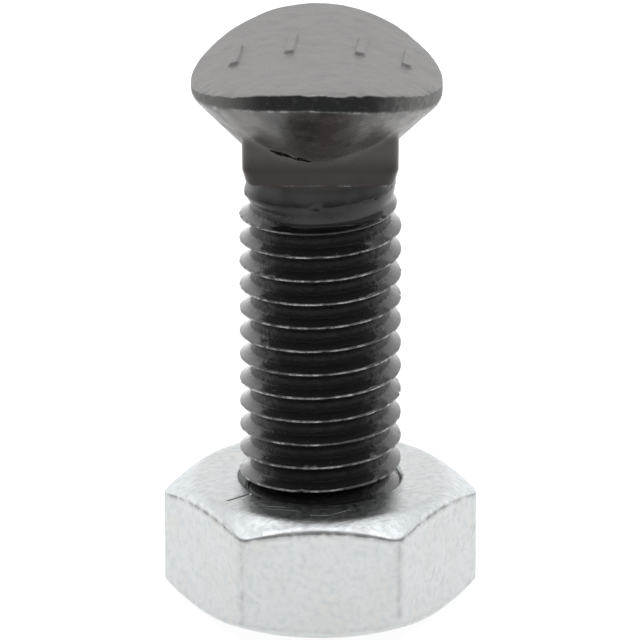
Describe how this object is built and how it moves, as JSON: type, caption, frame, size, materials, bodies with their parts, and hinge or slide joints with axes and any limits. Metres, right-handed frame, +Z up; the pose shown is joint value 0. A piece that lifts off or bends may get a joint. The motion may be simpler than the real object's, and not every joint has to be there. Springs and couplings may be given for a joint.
{
  "type": "plow bolt",
  "caption": "Countersunk plow bolt with an arched oval head, square neck and threaded shank, with a hex nut run on at its end.",
  "frame": {"origin": "on the shank's axis, in the plane of the nut's outer face and the bolt's threaded end", "axes": "+Z up the shank to the crown of the head, flats of the nut and of the neck facing -Y and +Y, the head's longer side along Y"},
  "size_m": [0.019, 0.0189, 0.0354],
  "materials": {
    "black_steel": "forged steel, black oxide, dull",
    "zinc_plate": "bright zinc plate, finely mottled"
  },
  "bodies": {
    "bolt": {"plow_bolt": "black_steel"},
    "nut": {"hex_nut": "zinc_plate"}
  },
  "joints": [
    {"name": "nut_travel", "type": "slide", "parent": "bolt", "child": "nut", "axis": [0, 0, 1], "range_m": [-0.009, 0.018]}
  ]
}
